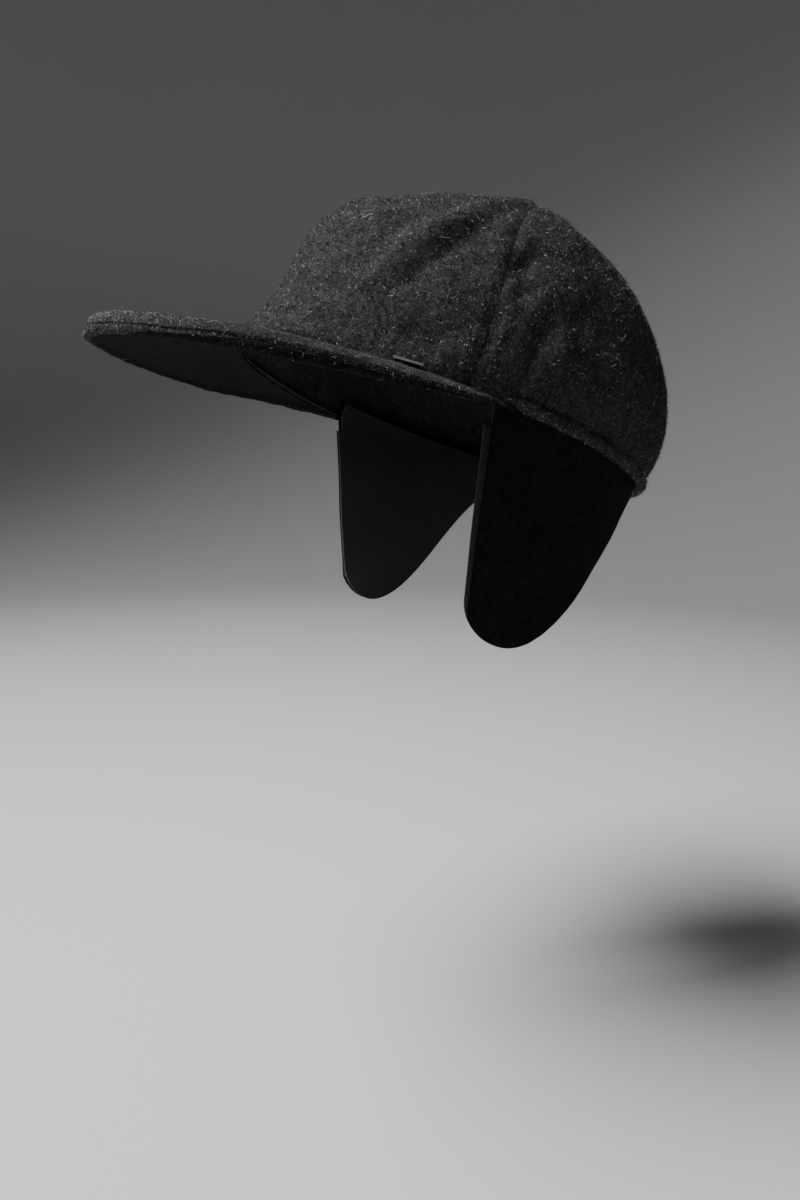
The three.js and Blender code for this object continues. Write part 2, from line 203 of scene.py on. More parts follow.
# Ear flap: how far inside the rim it hangs, thickness of wool and lining, and outline
FLAP_INSET = 3.7
FLAP_OUTER = 2.2
FLAP_LINING = 1.2
FLAP_TUCK = 7.5
FLAP_LEAN = math.radians(7)
FLAP_FRONT = 71.2
FLAP_SHIFT = 3.7
FLAP_SHIFT_SPAN = 40
FLAP_LOWEST = 81.6
FLAP_BACK = 147
FLAP_DEPTH = 104.4
FLAP_CORNER = 88
FLAP_LEAST = 1.5
FLAP_ROWS = 90
FLAP_COLUMNS = 80
FLAP_SPREAD = 1.5
FLAP_BEVEL = 0.9
FLAP_GAP = 0.2
FLAP_STILL = 0.15
FLAP_HAIRS = 8000
FLAP_LINT = 130
LINING_COLUMNS = 60

# Twill strip along the front of a flap: width in degrees at the top and low down, and inset of its face
STRIP_COLUMNS = 7
STRIP_TOP = 2.1
STRIP_LOW = 1.3
STRIP_SHARE = 0.96
STRIP_INSET = 4.0
STRIP_ROUND = 1.5
STRIP_RETURN = 1.6
NOTCH_SHARE = 0.955
NOTCH_END = 0.165
NOTCH_CORNER = 0.012


# Shapes of the crown, the peak and the flaps
def smooth_step(value):
    value = np.clip(value, 0, 1)
    return value * value * (3 - 2 * value)


def bell(distance, width):
    return np.exp(-((distance / width) ** 2))


def signed_azimuth(azimuth):
    return (azimuth + 180) % 360 - 180


def section(column, share):
    """Smooth curve through a column of the table, closed over the gathered point."""
    values = SECTIONS[:, column]
    last = len(values) - 1
    place = share * last
    start = np.clip(np.floor(place), 0, last - 1).astype(int)
    step = place - start
    mirror = 1 if column == HEIGHT else -1
    before = np.where(start > 0, values[np.maximum(start - 1, 0)], 2 * values[0] - values[1])
    after = np.where(start + 2 <= last, values[np.minimum(start + 2, last)], mirror * values[-2])
    here, following = values[start], values[start + 1]
    return 0.5 * (
        2 * here
        + (following - before) * step
        + (2 * before - 5 * here + 4 * following - after) * step**2
        + (3 * here - before - 3 * following + after) * step**3
    )


def share_at(height):
    """Height share at which the crown's outside reaches a small height over the rim."""
    return height / (SECTIONS[1, HEIGHT] * (len(SECTIONS) - 1))


def smooth_crown(azimuth, share):
    turn = np.radians(azimuth)
    forward = np.maximum(np.cos(turn), 0)
    height = section(HEIGHT, share)
    flare = FLARE * forward**2 * np.exp(-(np.maximum(height / FLARE_HEIGHT, 0) ** 3))
    lengthwise = np.where(forward > 0, section(FRONT, share), section(BACK, share)) + flare
    behind = POINT_BACK * np.maximum(share, 0) ** 2
    across = section(SIDE, share) * np.sin(turn)
    return np.stack([across, behind - lengthwise * np.cos(turn), height], -1)


def lumps(points, size, seed, waves=28):
    """Soft random unevenness of about 1 either way, as a sum of plane waves of that size."""
    rng = np.random.default_rng(seed)
    directions = rng.normal(size=(waves, 3))
    directions /= np.linalg.norm(directions, axis=1, keepdims=True)
    lengths = size * rng.uniform(0.7, 1.5, waves)
    phases = rng.uniform(0, 2 * math.pi, waves)
    total = np.zeros(points.shape[:-1])
    for direction, length, phase in zip(directions, lengths, phases):
        total += np.sin(points @ direction * (2 * math.pi / length) + phase)
    return total * math.sqrt(2 / waves) * 0.7


def unevenness(points, kinds):
    return sum(height * lumps(points, size, seed) for height, size, seed in kinds)


def fold_distance(points, path):
    """Distance from points of the crown to the line of a fold."""
    corners = np.array(path, float)
    marks = np.linspace(0, 1, len(corners))
    along = np.linspace(0, 1, 36)
    line = smooth_crown(np.interp(along, marks, corners[:, 0]), np.interp(along, marks, corners[:, 1]))
    nearest = np.full(points.shape[:-1], np.inf)
    for place in line:
        nearest = np.minimum(nearest, np.linalg.norm(points - place, axis=-1))
    return nearest


def crown_relief(azimuth, share, panel_from, panel_to):
    """How far the cloth of one panel stands out from the smooth crown."""
    points = smooth_crown(azimuth, share)
    reach = section(SIDE, share)
    beside = np.radians(np.minimum(azimuth - panel_from, panel_to - azimuth)) * np.maximum(reach, 0)
    calm_point = smooth_step(reach / 30)
    calm_rim = smooth_step(share / 0.06)
    middle = np.sin(np.pi * (azimuth - panel_from) / (panel_to - panel_from))
    run = share * PROFILE
    crease = SEAM_LINE[0] * bell(beside, SEAM_LINE[1]) + SEAM_DRAW[0] * bell(beside, SEAM_DRAW[1])
    allowance = ALLOWANCE[0] * bell(beside - ALLOWANCE_BESIDE, ALLOWANCE[1])
    along_seam = np.stack([run, beside * 0.2, 0 * run], -1)
    pucker = PUCKER[0] * bell(beside, PUCKER[1]) * lumps(along_seam, PUCKER_SIZE, 11)
    folded = np.zeros(points.shape[:-1])
    for path, width, lift in FOLDS:
        folded += lift * bell(fold_distance(points, path), width)
    soft = PANEL_FULLNESS * middle + folded + unevenness(points, CROWN_UNEVENNESS)
    from_front = np.abs(signed_azimuth(azimuth))
    in_front = smooth_step((FRONT_ZONE - from_front) / FRONT_FADE)
    over_hem = smooth_step((from_front - HEM_ZONE) / HEM_FADE)
    at_edge = (FRONT_EDGE * in_front + HEM_EDGE * over_hem) * bell(run - EDGE_MIDDLE, EDGE_WIDTH)
    brow = BROW * in_front * bell(run - BROW_MIDDLE, BROW_WIDTH)
    gathered = POINT_LIFT * bell(np.maximum(reach, 0), POINT_WIDTH) * smooth_step(2 * share - 1)
    held = calm_rim * calm_point * soft + calm_point * (crease + allowance + pucker)
    return held + unevenness(points, CROWN_NAP) + (at_edge + brow) + gathered


def crown_surface(azimuth, share, panel_from, panel_to, depth):
    """The panel's cloth at a depth under its outside, with its folds."""
    step = 0.004
    outside = smooth_crown(azimuth, share)
    centre = POINT_BACK * np.maximum(share, 0) ** 2
    away = np.stack([outside[..., 0], outside[..., 1] - centre], -1)
    reach = np.linalg.norm(away, axis=-1)
    away /= reach[..., None]
    above = smooth_crown(azimuth, np.minimum(share + step, 1))
    below = smooth_crown(azimuth, share - step)
    radius_above = np.hypot(above[..., 0], above[..., 1] - centre)
    radius_below = np.hypot(below[..., 0], below[..., 1] - centre)
    slope = np.stack([above[..., 2] - below[..., 2], radius_below - radius_above], -1)
    slope /= np.linalg.norm(slope, axis=-1, keepdims=True)
    rise = crown_relief(azimuth, share, panel_from, panel_to) - depth
    sideways = np.maximum(slope[..., 0] * rise, -reach / 2)
    left_over = np.sqrt(np.maximum(rise**2 - sideways**2, 0))
    upright = np.sign(rise * slope[..., 1]) * left_over
    outside[..., :2] += away * sideways[..., None]
    outside[..., 2] += upright
    return outside


def lower_edge(azimuth):
    """Height of the crown's lower edge: over the hem, and behind the peak in front."""
    over_hem = smooth_step((np.abs(signed_azimuth(azimuth)) - HEM_ZONE) / EDGE_FADE)
    return (HEM_MIDDLE + EDGE_OVER_HEM) * over_hem


def panel_layer(panel_from, panel_to, columns, depth):
    """A panel's cloth at a depth, from its lower edge to the point, with columns closer by the seams."""
    across = np.linspace(0, 1, columns + 1)
    across = 0.5 - 0.5 * np.cos(np.pi * across) * (0.25 + 0.75 * np.abs(np.cos(np.pi * across)) ** 0.3)
    across = (across - across[0]) / (across[-1] - across[0])
    plain = panel_from + (panel_to - panel_from) * across
    up = np.linspace(0, 1, CROWN_ROWS + 1)[:, None]
    bottom = share_at(lower_edge(plain))[None, :]
    share = bottom + (LAST_SHARE - bottom) * up**0.97
    reach = np.maximum(section(SIDE, share), 0.5)
    half_gap = np.degrees(np.arcsin(np.clip(SEAM_GAP / 2 / reach, 0, 0.2)))
    azimuth = panel_from + half_gap + (panel_to - panel_from - 2 * half_gap) * across[None, :]
    return crown_surface(azimuth, share, panel_from, panel_to, depth)


def worn(points):
    """From the rim's level frame to the cap as it is worn."""
    x, y, z = points[..., 0], points[..., 1], points[..., 2]
    cosine, sine = math.cos(FRONT_LIFT), math.sin(FRONT_LIFT)
    return np.stack([x, y * cosine + z * sine, -y * sine + z * cosine], -1)


def peak_edge(turn):
    """Outer edge of the peak at a turn from -1, its right end, to 1, its left end."""
    angle = np.abs(turn) * math.pi / 2
    power = 2 / PEAK_SQUARENESS
    rim_front, rim_side = SECTIONS[0, FRONT], SECTIONS[0, SIDE]
    end_side = rim_side * math.sin(math.radians(PEAK_END))
    end_front = rim_front * math.cos(math.radians(PEAK_END))
    across = np.sign(turn) * (end_side * np.sin(angle) ** power - PEAK_PINCH * np.sin(2 * angle))
    forward = (PEAK_REACH - end_front) * np.cos(angle) ** power
    return np.stack([across, -end_front - forward, -forward * math.tan(PEAK_DROOP)], -1)


def peak_layers(side):
    """Outer and inner layer of one of the peak's two covers, from the crown out to the rolled edge."""
    even = np.linspace(-1, 1, PEAK_COLUMNS + 1)
    turns = PEAK_TURNS * (even + PEAK_CLOSER * (even - even**3))
    edge = peak_edge(turns)
    azimuth = np.degrees(np.arctan2(edge[:, 0] / SECTIONS[0, SIDE], -edge[:, 1] / SECTIONS[0, FRONT]))
    seat = smooth_crown(azimuth, 0 * azimuth)
    seat[:, 2] = 0
    tuck = seat[:, :2] / np.linalg.norm(seat[:, :2], axis=1, keepdims=True)
    start = seat.copy()
    start[:, :2] -= PEAK_TUCK * tuck
    run = np.linalg.norm(edge - start, axis=1)
    flat_rows = np.linspace(0, 1, PEAK_ROWS - PEAK_ROLL_ROWS + 2)
    roll_rows = np.sin(np.linspace(0, math.pi / 2, PEAK_ROLL_ROWS))[1:]
    rounded = np.minimum(PEAK_OUTER, run / 2)
    along = np.concatenate([
        flat_rows[:, None] * ((run - rounded) / run)[None, :],
        ((run - rounded) / run)[None, :] + roll_rows[:, None] * (rounded / run)[None, :],
    ])
    left = run[None, :] * (1 - along)
    gone = along * run[None, :]
    profile = np.sqrt(np.clip(1 - (1 - np.clip(left / PEAK_OUTER, 0, 1)) ** 2, 0.0008, 1))
    thickness = PEAK_INNER + (PEAK_OUTER - PEAK_INNER) * np.clip(gone / PEAK_FULL_AT, 0, 1)
    if side > 0:
        thickness = thickness + PEAK_TIP_SWELL * bell(turns, PEAK_TIP_SPAN) * bell(left, PEAK_TIP_DEPTH)
    else:
        thickness = thickness - PEAK_RECESS * smooth_step((left - PEAK_OUTER) / 3) * np.clip(along * 4, 0, 1)
    outward = (edge - start) / run[:, None]
    kinds = [(0.14, 22, 21 + side), (0.12, 6, 25), (0.1, 2.6, 27)]
    layers = []
    for share in (1, 0):
        place = start[None] + (edge - start)[None] * along[..., None]
        height = PEAK_GROOVE / 2 + share * thickness * profile
        dent = PEAK_DENT * share * bell(height, 0.9) * bell(left, 3)
        uneven = unevenness(place, kinds)
        near_edge = bell(left, 5)
        place = place + outward[None] * (share * uneven * near_edge - dent)[..., None]
        place[..., 2] += side * height
        place[..., 2] += uneven * (side if share else 0) * np.clip(gone / 4, 0, 1) * profile
        place[..., 2] += unevenness(place * [1, 1, 0], PEAK_WARP) * along
        layers.append(place)
    return layers, left, turns


def peak_zones(side, left, turns):
    """Faces of a peak cover by the look of their wool, and the faces given darker wool as painted shade."""
    left = left[:-1, :-1]
    from_tip = np.abs(turns[:-1])
    if side > 0:
        shaded = TOP_SHADE * smooth_step((from_tip - TOP_SHADE_FROM) / TOP_SHADE_FADE)
        # painted shade: faces low on the rolled edge towards the ends get darker wool
        dark = left < PEAK_OUTER * shaded
        rolled = (left < PEAK_OUTER * TOP_ROLLED) & ~dark
        flat = left > PEAK_OUTER * TOP_ROLLED
        low = ~rolled & (left < PEAK_OUTER * TOP_LOW)
    else:
        depth = sum(share * smooth_step((end - from_tip) / fade) for share, end, fade in UNDER_ROLLED)
        rolled = left < PEAK_OUTER * depth
        # painted shade: the lower cover's faces past the roll get darker wool
        dark = flat = ~rolled
        low = ~rolled & (left < PEAK_OUTER * UNDER_LOW)
    return {"rolled": rolled, "tip": rolled & (from_tip < TIP_END), "flat": flat, "low": low}, dark


def flap_depth(azimuth):
    """Lower edge of a flap: a round corner in front, then one long curve up to the back."""
    away = np.clip((FLAP_LOWEST - azimuth) / (FLAP_LOWEST - FLAP_FRONT), 0, 1)
    corner = FLAP_CORNER + (FLAP_DEPTH - FLAP_CORNER) * np.sqrt(1 - away**2)
    share = np.clip((azimuth - FLAP_LOWEST) / (FLAP_BACK - FLAP_LOWEST), 0, 1)
    long_curve = np.maximum(FLAP_DEPTH * (1 + np.cos(np.pi * share)) / 2, FLAP_LEAST)
    return np.where(azimuth < FLAP_LOWEST, corner, long_curve)


def flap_surface(azimuths, depth_share, inset):
    """Places on a flap, in the worn frame, on the wearer's left."""
    azimuths = np.broadcast_to(azimuths, (len(depth_share), np.shape(azimuths)[-1]))
    drop = -FLAP_TUCK + (flap_depth(azimuths) + FLAP_TUCK) * depth_share[:, None]
    near_front = 1 - np.clip((azimuths - FLAP_FRONT) / FLAP_SHIFT_SPAN, 0, 1)
    azimuth = azimuths - FLAP_SHIFT * near_front * np.maximum(drop, 0) / FLAP_DEPTH
    rim = smooth_crown(azimuth, 0 * azimuth)
    rim[..., 2] = 0
    inward = rim / np.linalg.norm(rim, axis=-1, keepdims=True)
    place = rim - inward * np.broadcast_to(inset, azimuth.shape)[..., None]
    turn = np.radians(azimuth)
    out = np.stack([np.sin(turn), -np.cos(turn), 0 * turn], -1)
    above = np.minimum(drop, 0)
    below = np.maximum(drop, 0)
    place[..., 2] -= above
    place = worn(place)
    place -= out * (below * math.tan(FLAP_LEAN))[..., None]
    place[..., 2] -= below
    return place


def flap_layers(turns, insets, swayed_as, kinds, mirror):
    """Outer and inner layer of a flap's cloth, both swayed as one of them is uneven."""
    down = np.linspace(0, 1, FLAP_ROWS)
    layers = [flap_surface(turn, down, inset) for turn, inset in zip(turns, insets)]
    sway = unevenness(layers[swayed_as], kinds) * smooth_step(down / FLAP_STILL)[:, None]
    for layer in layers:
        layer[..., 0] += sway
    return [layer * mirror for layer in layers]


# Meshes
ROOT_DEPTH = 0.06
LEAST_RISE = 0.08
TINY = 1e-12


def closed_sheet(outer, inner, step=1):
    """A closed body between two layers; the inner one keeps every step-th point but its border."""
    rows, columns = outer.shape[:2]
    keep_rows = sorted(set(range(0, rows, step)) | {rows - 1})
    keep_columns = sorted(set(range(0, columns, step)) | {columns - 1})
    coarse = inner[np.ix_(keep_rows, keep_columns)]
    points = np.concatenate([outer.reshape(-1, 3), coarse.reshape(-1, 3)])
    first = rows * columns
    wide = len(keep_columns)
    at = np.arange(rows * columns).reshape(rows, columns)
    under = first + np.arange(len(keep_rows) * wide).reshape(len(keep_rows), wide)
    faces = grid_faces(at) + [face[::-1] for face in grid_faces(under)]
    borders = [
        (at[0], under[0], keep_columns, True),
        (at[-1], under[-1], keep_columns, False),
        (at[:, 0], under[:, 0], keep_rows, False),
        (at[:, -1], under[:, -1], keep_rows, True),
    ]
    for fine, rough, kept, swap in borders:
        for index, (low, high) in enumerate(zip(kept, kept[1:])):
            ring = [int(fine[k]) for k in range(low, high + 1)]
            face = ring[::-1] + [int(rough[index]), int(rough[index + 1])]
            faces.append(face[::-1] if swap else face)
    return points, faces


def grid_faces(at):
    corners = np.stack([at[:-1, :-1], at[:-1, 1:], at[1:, 1:], at[1:, :-1]], -1)
    return corners.reshape(-1, 4).tolist()


def make_piece(name, points, faces, finish, slot, node=None):
    """A piece of the cap in metres, which rides with the cap and stands for its node."""
    mesh = bpy.data.meshes.new(name)
    mesh.from_pydata((points * METRES).tolist(), [], faces)
    mesh.polygons.foreach_set("use_smooth", [True] * len(mesh.polygons))
    mesh.materials.append(finish)
    piece = bpy.data.objects.new(name, mesh)
    bpy.context.scene.collection.objects.link(piece)
    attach(piece, "root")
    if node:
        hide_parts(node)
    return piece


def point_outward(piece):
    """Turns the faces of a closed piece outward."""
    mesh = piece.data
    mesh.calc_loop_triangles()
    corners = np.empty(len(mesh.loop_triangles) * 3, int)
    mesh.loop_triangles.foreach_get("vertices", corners)
    places = np.empty(len(mesh.vertices) * 3)
    mesh.vertices.foreach_get("co", places)
    a, b, c = np.moveaxis(places.reshape(-1, 3)[corners].reshape(-1, 3, 3), 1, 0)
    if np.einsum("ij,ij->i", a, np.cross(b, c)).sum() < 0:
        mesh.flip_normals()


def nap(
    name, layer, count, seed, finish, slot,
    length=(0.8, 2.4), lift=0.4, width=0.15, shares=None, joints=2,
):
    """Fine wool hairs that lie on a layer of cloth, each a narrow curled blade with a tone of its own."""
    rng = np.random.default_rng(seed)
    a, b = layer[:-1, :-1], layer[:-1, 1:]
    c, d = layer[1:, 1:], layer[1:, :-1]
    area = np.linalg.norm(np.cross(c - a, d - b), axis=-1).ravel()
    if shares is not None:
        area = area * shares.ravel()
    cell = rng.choice(area.size, count, p=area / area.sum())
    u, v = rng.random((2, count, 1))
    a, b, c, d = (corner.reshape(-1, 3)[cell] for corner in (a, b, c, d))
    base = (a * (1 - u) + b * u) * (1 - v) + (d * (1 - u) + c * u) * v
    normal = np.cross(c - a, d - b)
    normal /= np.linalg.norm(normal, axis=1, keepdims=True) + TINY
    first = b - a + d * 0
    first -= normal * np.einsum("ij,ij->i", first, normal)[:, None]
    first /= np.linalg.norm(first, axis=1, keepdims=True) + TINY
    second = np.cross(normal, first)
    heading = rng.uniform(0, 2 * math.pi, (count, 1))
    curl = rng.normal(0, 1.1, (count, 1))
    long = rng.uniform(*length, (count, 1)) * rng.uniform(0.6, 1, (count, 1))
    high = rng.exponential(lift, (count, 1)).clip(0, 4 * lift) + LEAST_RISE
    wide = width * rng.uniform(0.6, 1.3, (count, 1))
    place = base - ROOT_DEPTH * normal
    centres = [place]
    start_turn = rng.uniform(0, 2 * math.pi, (count, 1)) * (joints > 2)
    for stage in range(1, joints + 1):
        bend = heading + curl * np.where(joints > 2, 1.4 * np.sin(1.1 * stage + start_turn), stage * 0.6)
        place = place + (first * np.cos(bend) + second * np.sin(bend)) * long / joints
        centres.append(place + normal * high * (1 - 0.8 * (1 - stage / joints) ** 2))
    lean = rng.uniform(-1, 1, (count, 1))
    sideways = -first * np.sin(heading) + second * np.cos(heading) + normal * lean
    sideways /= np.linalg.norm(sideways, axis=1, keepdims=True)
    rings = []
    for centre in centres[:-1]:
        rings += [centre - sideways * wide / 2, centre + sideways * wide / 2]
    rings.append(centres[-1])
    points = np.stack(rings, 1).reshape(-1, 3)
    start = (np.arange(count) * len(rings))[:, None]
    blades = []
    for joint in range(joints - 1):
        blades += (start + 2 * joint + [0, 1, 3, 2]).tolist()
    tips = (start + len(rings) + [-3, -2, -1]).tolist()
    piece = make_piece(name, points, blades + tips, finish, slot)
    tone = np.repeat(rng.random(count), len(rings)).astype(np.float32)
    piece.data.attributes.new("tone", "FLOAT", "POINT").data.foreach_set("value", tone)
    return piece


# Finishes
RIB_WIDTH = 1.0


class Number:
    """A number on a finish's surface, which can be used in sums."""

    def __init__(self, finish, socket):
        self.finish = finish
        self.socket = socket

    def sum_with(self, operation, *others, clamp=False):
        values = dict(enumerate([self, *others]))
        return self.finish.add("ShaderNodeMath", {"operation": operation, "use_clamp": clamp}, values)

    def __add__(self, other):
        return self.sum_with("ADD", other)

    def __radd__(self, other):
        return self.sum_with("ADD", other)

    def __sub__(self, other):
        return self.sum_with("SUBTRACT", other)

    def __rsub__(self, other):
        return self.finish.add("ShaderNodeMath", {"operation": "SUBTRACT"}, {0: other, 1: self})

    def __mul__(self, other):
        return self.sum_with("MULTIPLY", other)

    def __rmul__(self, other):
        return self.sum_with("MULTIPLY", other)

    def __truediv__(self, other):
        return self.sum_with("DIVIDE", other)

    def __abs__(self):
        return self.sum_with("ABSOLUTE")

    def held(self):
        """Kept between 0 and 1."""
        return self.sum_with("ADD", 0.0, clamp=True)

    def between(self, low, high):
        """0 under low, 1 over high, and smooth between."""
        settings = {"interpolation_type": "SMOOTHSTEP"}
        values = {"Value": self, "From Min": low, "From Max": high}
        return self.finish.add("ShaderNodeMapRange", settings, values)


class Finish:
    """A material whose nodes are added one at a time."""

    def __init__(self, name):
        self.material = bpy.data.materials.new(name)
        self.material.use_nodes = True
        self.tree = self.material.node_tree
        self.shader = self.tree.nodes["Principled BSDF"]
        coordinates = self.add("ShaderNodeTexCoord", {}, {}, "Object")
        scale = {"Vector": coordinates, "Scale": 1 / METRES}
        self.place = self.add("ShaderNodeVectorMath", {"operation": "SCALE"}, scale, "Vector")

    def add(self, kind, settings, values, output=0):
        node = self.tree.nodes.new(kind)
        for name, value in settings.items():
            setattr(node, name, value)
        self.feed(node, values)
        return Number(self, node.outputs[output])

    def feed(self, node, values):
        for name, value in values.items():
            if isinstance(value, Number):
                self.tree.links.new(value.socket, node.inputs[name])
            else:
                node.inputs[name].default_value = value

    def noise(self, size, detail=3.0, roughness=0.55, distortion=0.0, place=None):
        """Noise whose lumps are about that many millimetres across."""
        values = {
            "Vector": place or self.place, "Scale": 1 / size, "Detail": detail,
            "Roughness": roughness, "Distortion": distortion,
        }
        return self.add("ShaderNodeTexNoise", {}, values, "Fac")

    def stretched(self, direction, scale):
        """The place turned and stretched, for marks that run one way."""
        values = {"Vector": self.place, "Rotation": direction, "Scale": scale}
        return self.add("ShaderNodeMapping", {}, values, "Vector")

    def hairs(self, size, width, distortion=2.0, place=None):
        """Fine curled lines where a noise passes its middle."""
        level = self.noise(size, 2.0, 0.6, distortion, place)
        return 1 - (abs(level - 0.5) / width).held()

    def blend(self, share, first, second):
        mix = {"data_type": "RGBA"}
        return self.add("ShaderNodeMix", mix, {0: share, 6: first, 7: second}, 2)

    def bump(self, height, strength, distance):
        values = {"Height": height, "Strength": strength, "Distance": distance * METRES}
        return self.add("ShaderNodeBump", {}, values, "Normal")

    def done(self, **values):
        self.feed(self.shader, {name.replace("_", " "): value for name, value in values.items()})
        return self.material


def wool(name, dark, middle, pale, sheen, bump):
    """Milled wool: heathered dark ground, curled pale hairs and shallow pits in the nap."""
    finish = Finish(name)
    ground = finish.noise(0.9, 4.0, 0.8, 0.6)
    patches = finish.noise(7.0, 3.0, 0.6)
    pits = finish.noise(2.4, 2.0, 0.5, 0.6)
    one_way = finish.hairs(1.9, 0.035, 2.4, finish.stretched((0.3, 0.5, 0.9), (0.5, 1.2, 1)))
    other_way = finish.hairs(2.3, 0.03, 3.0, finish.stretched((1.2, 0.2, -0.7), (0.6, 1.1, 1)))
    short = finish.hairs(0.9, 0.07, 1.0)
    strewn = finish.noise(2.6, 1.0)
    mottle = (ground * 0.8 + pits * 0.5 + patches * 0.35 - 0.325).between(0.34, 0.68)
    colour = finish.blend(mottle, dark, middle)
    seen = (one_way * strewn.between(0.42, 0.62) + other_way * (1 - strewn).between(0.42, 0.62)).held()
    colour = finish.blend((seen * 0.75 + short * 0.22).held(), colour, pale)
    height = ground * 0.9 + pits * 0.6 + seen * 0.4 + short * 0.2
    normal = finish.bump(height, bump, 0.8)
    roughness = 0.86 + ground * 0.12
    return finish.done(
        Base_Color=colour, Roughness=roughness, Normal=normal, Sheen_Weight=sheen,
        Sheen_Roughness=0.45, Sheen_Tint=(0.75, 0.76, 0.8, 1), Specular_IOR_Level=0.04,
    )


def wool_hair(name, dark, middle, pale, pale_share):
    """Loose hairs of the nap, most dark and a few pale."""
    finish = Finish(name)
    tone = finish.add("ShaderNodeAttribute", {"attribute_name": "tone"}, {}, "Fac")
    colour = finish.blend(tone.between(0.2, 1 - pale_share), dark, middle)
    colour = finish.blend(tone.between(1 - pale_share, 1.0), colour, pale)
    return finish.done(Base_Color=colour, Roughness=0.7, Specular_IOR_Level=0.06)


def ribbed_twill(name, dark, rib):
    """Twill whose fine ribs climb to one side, darker by the rim with painted shade, with the thread's own
    unevenness.
    """
    finish = Finish(name)
    behind = finish.add("ShaderNodeSeparateXYZ", {}, {"Vector": finish.place}, "Y")
    rise = finish.add("ShaderNodeSeparateXYZ", {}, {"Vector": finish.place}, "Z")
    wander = finish.noise(5.0, 2.0) * 0.5
    across = behind * 0.85 - rise * 0.53 + wander
    wave = (across * (2 * math.pi / RIB_WIDTH)).sum_with("SINE") * 0.5 + 0.5
    threads = finish.noise(0.45, 3.0, 0.7)
    # painted shade: the twill darkens towards the rim, where the flap hangs under the crown
    painted_shade_by_rim = 1 - rise.between(-60.0, -10.0) * 0.5
    seen = (wave.between(0.45, 0.95) * (0.45 + threads) * painted_shade_by_rim).held()
    colour = finish.blend(seen, dark, rib)
    normal = finish.bump(wave + threads * 0.3, 0.8, 0.3)
    return finish.done(
        Base_Color=colour, Roughness=0.7 + threads * 0.2, Normal=normal,
        Sheen_Weight=0.15, Sheen_Roughness=0.5, Specular_IOR_Level=0.3,
    )


def satin_metal(name):
    """Pale plain metal, brushed along its length."""
    finish = Finish(name)
    brushed = finish.noise(0.5, 4.0, 0.7, 0.0, finish.stretched((0, 0, 0.85), (0.06, 1, 1)))
    dull = finish.noise(3.0, 2.0)
    colour = finish.blend(dull, (0.24, 0.24, 0.24, 1), (0.36, 0.36, 0.365, 1))
    normal = finish.bump(brushed, 0.3, 0.05)
    return finish.done(
        Base_Color=colour, Metallic=1.0, Roughness=0.28 + brushed * 0.2, Normal=normal,
    )


def plain_paper(name, colour):
    """Pale sweep for the floor."""
    finish = Finish(name)
    shade = finish.noise(400.0, 2.0)
    darker = tuple(0.97 * part for part in colour[:3]) + (1,)
    return finish.done(Base_Color=finish.blend(shade, darker, colour), Roughness=0.9)


charcoal_wool = wool(
    "charcoal_wool", (0.003, 0.003, 0.0035, 1), (0.042, 0.0422, 0.0455, 1), (0.18, 0.18, 0.188, 1), 0.02, 1.0
)
# painted shade: darker wool for under the peak and the low edge of its upper cover
painted_shade_wool = wool(
    "painted_shade_wool", (0.003, 0.003, 0.0032, 1), (0.011, 0.011, 0.0115, 1), (0.035, 0.035, 0.036, 1), 0.0, 0.7
)
black_wool = wool(
    "black_wool", (0.0024, 0.0024, 0.0026, 1), (0.0105, 0.0105, 0.0108, 1), (0.034, 0.034, 0.034, 1), 0.0, 0.7
)
charcoal_hair = wool_hair(
    "charcoal_hair", (0.004, 0.004, 0.005, 1), (0.055, 0.056, 0.06, 1), (0.31, 0.31, 0.32, 1), 0.32
)
pale_hair = wool_hair(
    "pale_hair", (0.06, 0.06, 0.062, 1), (0.14, 0.14, 0.145, 1), (0.34, 0.34, 0.34, 1), 0.3
)
edge_hair = wool_hair(
    "edge_hair", (0.003, 0.003, 0.004, 1), (0.055, 0.056, 0.06, 1), (0.42, 0.42, 0.43, 1), 0.3
)
# painted highlight: pale hairs that brighten the peak's tip where the light falls
painted_highlight_hair = wool_hair(
    "painted_highlight_hair", (0.01, 0.01, 0.011, 1), (0.2, 0.2, 0.205, 1), (0.86, 0.86, 0.87, 1), 0.55
)
# painted shade: darker hairs for the peak's underside and the shaded low part of its edge
painted_shade_hair = wool_hair(
    "painted_shade_hair", (0.003, 0.003, 0.0035, 1), (0.016, 0.016, 0.017, 1), (0.08, 0.08, 0.082, 1), 0.1
)
black_hair = wool_hair(
    "black_hair", (0.002, 0.002, 0.002, 1), (0.012, 0.012, 0.0125, 1), (0.09, 0.09, 0.09, 1), 0.06
)
twill = ribbed_twill("dark_twill", (0.001, 0.001, 0.0013, 1), (0.029, 0.0305, 0.038, 1))
tab_metal = satin_metal("tab_metal")

# Crown
for index, (node, (start, end, columns, cut, area, hairs)) in enumerate(PANELS.items()):
    outside = worn(panel_layer(start, end, columns, 0))
    inside = worn(panel_layer(start + SEAM_SLANT, end + SEAM_SLANT, columns, WALL))
    cloth = make_piece(
        f"{node}_cloth", *closed_sheet(outside, inside, INNER_STEP), charcoal_wool, "crown_wool", node
    )
    point_outward(cloth)
    hair = nap(f"{node}_nap", outside, hairs, 40 + index, charcoal_hair, "crown_wool")
    stray = nap(
        f"{node}_stray_hairs", outside, hairs // HAIRS_PER_STRAY, 80 + index, pale_hair, "crown_wool",
        STRAY_LENGTH, STRAY_LIFT, STRAY_WIDTH, joints=STRAY_JOINTS,
    )

